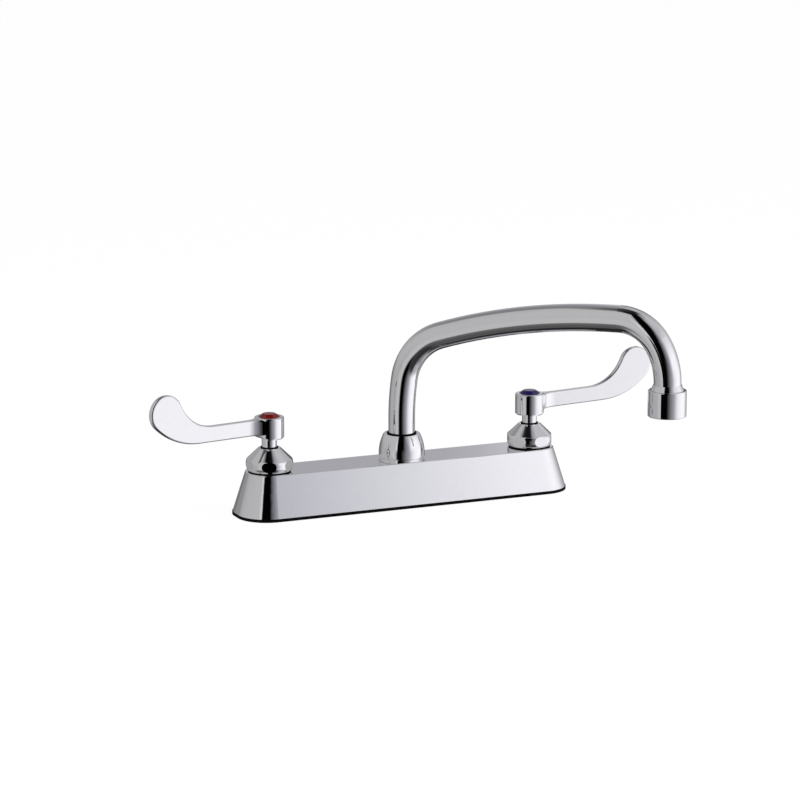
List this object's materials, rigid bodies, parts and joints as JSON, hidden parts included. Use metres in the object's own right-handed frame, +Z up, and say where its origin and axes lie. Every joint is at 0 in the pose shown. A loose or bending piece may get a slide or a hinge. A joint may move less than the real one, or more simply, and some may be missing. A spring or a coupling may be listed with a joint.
{
  "type": "deck-mounted faucet",
  "caption": "Deck-mounted faucet with a tapered base, wrist-blade handles and an arched swing spout that mixes hot and cold water over a basin.",
  "frame": {"origin": "middle of the gasket's underside, in the plane of the deck, on the spout's swivel axis", "axes": "+X from the hot side to the cold side, +Y away from the user, +Z up along the spout's riser"},
  "size_m": [0.4025, 0.1955, 0.1555],
  "materials": {
    "chrome": "polished plating on brass",
    "brass": "as cast and turned",
    "rubber": "matte",
    "ceramic": "lapped ceramic",
    "nylon": "moulded",
    "steel": "bright stainless",
    "button_red": "gloss",
    "button_blue": "gloss"
  },
  "bodies": {
    "base": {"deck_body": "chrome", "base_gasket": "rubber", "spout_post": "brass", "lower_swivel_ring": "rubber", "upper_swivel_ring": "rubber", "nut_ring": "chrome", "spout_nut": "chrome", "spout_wiper": "rubber", "spout_washer": "nylon", "hot_bonnet": "chrome", "hot_bonnet_ring": "rubber", "hot_stem_wiper": "rubber", "hot_crossover_tube": "brass", "hot_valve_body": "brass", "hot_cartridge_housing": "brass", "hot_inlet_seal": "rubber", "hot_fixed_disc": "ceramic", "cold_bonnet": "chrome", "cold_bonnet_ring": "rubber", "cold_stem_wiper": "rubber", "cold_crossover_tube": "brass", "cold_valve_body": "brass", "cold_cartridge_housing": "brass", "cold_inlet_seal": "rubber", "cold_fixed_disc": "ceramic"},
    "spout": {"spout_tube": "chrome", "spout_collar": "brass", "outlet_adapter": "chrome", "aerator_housing": "chrome", "aerator_washer": "rubber", "aerator_insert": "nylon", "aerator_screen": "steel"},
    "hot_handle": {"hot_moving_disc": "ceramic", "hot_stem": "chrome", "hot_stem_ring": "rubber", "hot_blade_handle": "chrome", "hot_handle_screw": "steel", "hot_index_button": "button_red"},
    "cold_handle": {"cold_moving_disc": "ceramic", "cold_stem": "chrome", "cold_stem_ring": "rubber", "cold_blade_handle": "chrome", "cold_handle_screw": "steel", "cold_index_button": "button_blue"}
  },
  "joints": [
    {"name": "spout_swivel", "type": "hinge", "parent": "base", "child": "spout", "pos_m": [0, 0, 0.0313], "axis": [0, 0, 1], "range_deg": [-99.8, 20.2]},
    {"name": "hot_handle_turn", "type": "hinge", "parent": "base", "child": "hot_handle", "pos_m": [-0.1016, 0, 0.0549], "axis": [0, 0, 1], "range_deg": [-19.5, 70.5]},
    {"name": "cold_handle_turn", "type": "hinge", "parent": "base", "child": "cold_handle", "pos_m": [0.1016, 0, 0.0549], "axis": [0, 0, 1], "range_deg": [-90, 0]}
  ]
}
